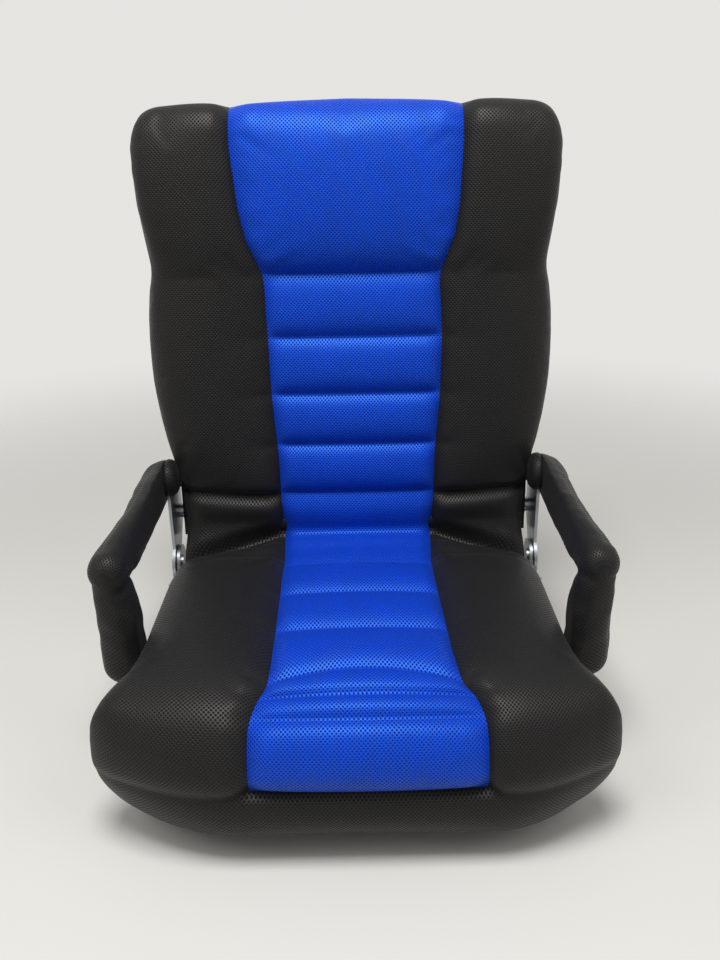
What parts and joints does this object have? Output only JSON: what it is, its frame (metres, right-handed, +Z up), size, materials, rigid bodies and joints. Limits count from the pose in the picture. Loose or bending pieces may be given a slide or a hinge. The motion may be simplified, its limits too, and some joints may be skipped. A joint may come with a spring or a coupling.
{
  "type": "swivel gaming floor chair",
  "caption": "Legless padded floor chair with a swivel ring base, a back that reclines flat on ratchet hinges, and sleeved arms that fold with the back.",
  "frame": {"origin": "the point on the floor below the swivel's axis, which is also the middle of the overall box", "axes": "+Z up along the swivel's axis; -Y towards the front of the seat; +X towards the right arm as the picture shows it"},
  "size_m": [0.589, 0.5049, 0.753],
  "materials": {
    "zinc": "bright zinc plate",
    "ball_steel": "polished steel",
    "black_steel": "black powder coat",
    "black_mesh": "black spacer mesh over foam",
    "blue_mesh": "royal blue spacer mesh over foam",
    "webbing": "woven webbing and non-woven cloth",
    "rubber": "matt",
    "nylon": "moulded nylon"
  },
  "bodies": {
    "base": {"base_ring": "black_steel", "base_cross_bars": "black_steel", "base_feet": "rubber", "swivel_lower_plate": "zinc", "swivel_lower_bolts": "zinc", "swivel_lower_nuts": "zinc", "swivel_rivet": "zinc"},
    "ball_ring": {"swivel_balls": "ball_steel", "swivel_ball_cage": "nylon"},
    "seat": {"swivel_upper_plate": "zinc", "swivel_upper_bolts": "zinc", "swivel_upper_nuts": "zinc", "seat_rail_left": "black_steel", "seat_rail_right": "black_steel", "seat_front_rail": "black_steel", "seat_rear_rail": "black_steel", "seat_cross_bars": "black_steel", "seat_straps": "webbing", "seat_cushion": "black_mesh", "seat_centre_panel": "blue_mesh", "seat_dust_cover": "webbing", "hinge_seat_plates": "zinc", "arm_brackets": "zinc", "rail_bolts": "zinc", "rail_nuts": "zinc", "hinge_pivots": "zinc", "pawl_pins": "zinc", "pawl_springs": "zinc", "arm_front_studs": "zinc", "arm_front_nuts": "zinc"},
    "pawl_left": {"pawl_left": "zinc"},
    "pawl_right": {"pawl_right": "zinc"},
    "back": {"hinge_back_plates": "zinc", "back_tube_left": "black_steel", "back_tube_right": "black_steel", "back_top_tube": "black_steel", "back_cross_bars": "black_steel", "back_straps": "webbing", "back_cushion": "black_mesh", "back_centre_panel": "blue_mesh", "headrest_panel": "blue_mesh", "back_rear_cover": "black_mesh", "back_plate_spacers": "zinc", "back_plate_bolts": "zinc", "back_plate_nuts": "zinc", "arm_rear_studs": "zinc", "arm_rear_nuts": "zinc", "arm_boots": "black_mesh"},
    "arm_bar_left": {"arm_bar_left": "black_steel", "arm_bar_sleeve_left": "black_mesh", "elbow_rivet_left": "zinc"},
    "arm_post_left": {"arm_post_left": "black_steel", "arm_post_sleeve_left": "black_mesh"},
    "arm_bar_right": {"arm_bar_right": "black_steel", "arm_bar_sleeve_right": "black_mesh", "elbow_rivet_right": "zinc"},
    "arm_post_right": {"arm_post_right": "black_steel", "arm_post_sleeve_right": "black_mesh"}
  },
  "joints": [
    {"name": "swivel", "type": "hinge", "parent": "base", "child": "seat", "pos_m": [0, 0, 0.034], "axis": [0, 0, 1], "continuous": true},
    {"name": "ball_ring_spin", "type": "hinge", "parent": "base", "child": "ball_ring", "pos_m": [0, 0, 0.034], "axis": [0, 0, 1], "continuous": true},
    {"name": "recline", "type": "hinge", "parent": "seat", "child": "back", "pos_m": [0, 0.16, 0.162], "axis": [1, 0, 0], "range_deg": [-85, 8]},
    {"name": "arm_post_left", "type": "hinge", "parent": "seat", "child": "arm_post_left", "pos_m": [-0.248, -0.068, 0.144], "axis": [1, 0, 0], "range_deg": [-85, 8]},
    {"name": "arm_bar_left", "type": "hinge", "parent": "back", "child": "arm_bar_left", "pos_m": [-0.253, 0.16, 0.288], "axis": [1, 0, 0], "range_deg": [-8, 85]},
    {"name": "pawl_left", "type": "hinge", "parent": "seat", "child": "pawl_left", "pos_m": [-0.248, 0.119, 0.147], "axis": [1, 0, 0], "range_deg": [0, 7.7]},
    {"name": "arm_post_right", "type": "hinge", "parent": "seat", "child": "arm_post_right", "pos_m": [0.248, -0.068, 0.144], "axis": [1, 0, 0], "range_deg": [-85, 8]},
    {"name": "arm_bar_right", "type": "hinge", "parent": "back", "child": "arm_bar_right", "pos_m": [0.253, 0.16, 0.288], "axis": [1, 0, 0], "range_deg": [-8, 85]},
    {"name": "pawl_right", "type": "hinge", "parent": "seat", "child": "pawl_right", "pos_m": [0.248, 0.119, 0.147], "axis": [1, 0, 0], "range_deg": [0, 7.7]}
  ],
  "couplings": [
    {"joint": "ball_ring_spin", "follows": "swivel", "ratio": 0.5},
    {"joint": "arm_post_left", "follows": "recline", "ratio": 1},
    {"joint": "arm_bar_left", "follows": "recline", "ratio": -1},
    {"joint": "arm_post_right", "follows": "recline", "ratio": 1},
    {"joint": "arm_bar_right", "follows": "recline", "ratio": -1}
  ]
}
